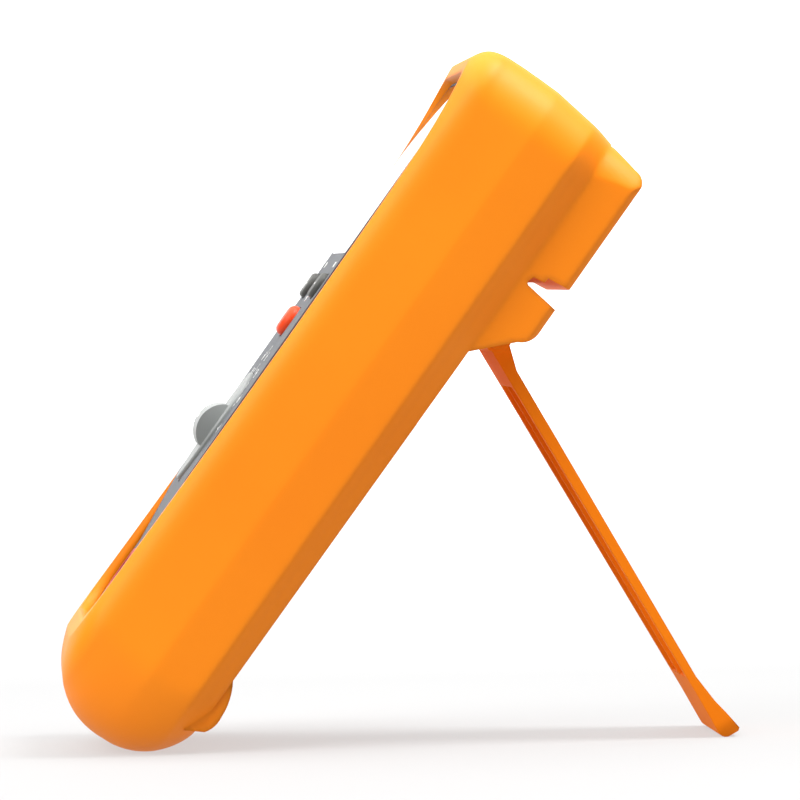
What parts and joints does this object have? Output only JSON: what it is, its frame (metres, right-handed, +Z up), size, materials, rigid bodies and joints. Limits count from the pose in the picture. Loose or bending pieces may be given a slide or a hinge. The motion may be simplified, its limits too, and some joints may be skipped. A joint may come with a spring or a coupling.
{
  "type": "digital multimeter",
  "caption": "Hand-held digital multimeter in an elastomer boot, propped on its open tilt stand, with rotary selector, push buttons and recessed plug jacks.",
  "frame": {"origin": "on the floor the meter stands on, under the middle of the box round the standing meter", "axes": "+Z up, -Y the way the front panel faces, +X to the right of a user facing the panel"},
  "size_m": [0.09, 0.1594, 0.1623],
  "materials": {
    "boot": "fine matt texture",
    "stand": "satin moulded",
    "panel": "fine matt texture",
    "rear_case": "matt",
    "seal": "matt",
    "steel": "zinc plated",
    "battery_skin": "printed tin",
    "connector": "matt",
    "lens": "polished",
    "display_frame": "matt",
    "lcd": "polished",
    "backlight": "frosted",
    "contact_strip": "matt",
    "board": "solder resist",
    "chip": "matt",
    "fuse": "glazed ceramic",
    "tinned_brass": "tinned",
    "knob": "satin",
    "pointer": "satin",
    "rotor": "matt",
    "key_switch": "matt",
    "jack_block": "satin",
    "grey_key": "satin",
    "shift_key": "satin",
    "plunger": "satin",
    "jack_brass": "bright"
  },
  "bodies": {
    "meter": {"backlight_plate": "backlight", "battery": "battery_skin", "battery_connector": "connector", "battery_door": "rear_case", "battery_door_screw": "steel", "board_chips": "chip", "board_screws": "steel", "buzzer": "chip", "case_screws": "steel", "case_seal": "seal", "circuit_board": "board", "contact_strip": "contact_strip", "display_frame": "display_frame", "display_lens": "lens", "front_case": "panel", "fuse_clips": "tinned_brass", "fuse_large": "fuse", "fuse_small": "fuse", "holster": "boot", "jack_block": "jack_block", "jack_sleeve_1": "jack_brass", "jack_sleeve_2": "jack_brass", "jack_sleeve_3": "jack_brass", "jack_sleeve_4": "jack_brass", "key_switches": "key_switch", "lcd_glass": "lcd", "rear_case": "rear_case"},
    "stand": {"tilt_stand": "stand"},
    "dial": {"knob": "knob", "knob_pointer": "pointer", "switch_rotor": "rotor", "rotor_contacts": "tinned_brass"},
    "key_left": {"button_left": "grey_key", "plunger_left": "plunger"},
    "key_right": {"button_right": "grey_key", "plunger_right": "plunger"},
    "key_shift": {"button_shift": "shift_key", "plunger_shift": "plunger"}
  },
  "joints": [
    {"name": "stand_fold", "type": "hinge", "parent": "meter", "child": "stand", "pos_m": [0, 0.02401, 0.0952], "axis": [-1, 0, 0], "range_deg": [0, 66.2]},
    {"name": "dial_turn", "type": "hinge", "parent": "meter", "child": "dial", "pos_m": [0, -0.04152, 0.07503], "axis": [0, 0.8052, -0.593], "range_deg": [0, 180]},
    {"name": "key_left_press", "type": "slide", "parent": "meter", "child": "key_left", "axis": [0, 0.8052, -0.593], "range_m": [0, 0.0008], "stiffness_N_per_m": 700, "springref_m": -0.0006},
    {"name": "key_right_press", "type": "slide", "parent": "meter", "child": "key_right", "axis": [0, 0.8052, -0.593], "range_m": [0, 0.0008], "stiffness_N_per_m": 700, "springref_m": -0.0006},
    {"name": "key_shift_press", "type": "slide", "parent": "meter", "child": "key_shift", "axis": [0, 0.8052, -0.593], "range_m": [0, 0.0008], "stiffness_N_per_m": 700, "springref_m": -0.0006}
  ]
}
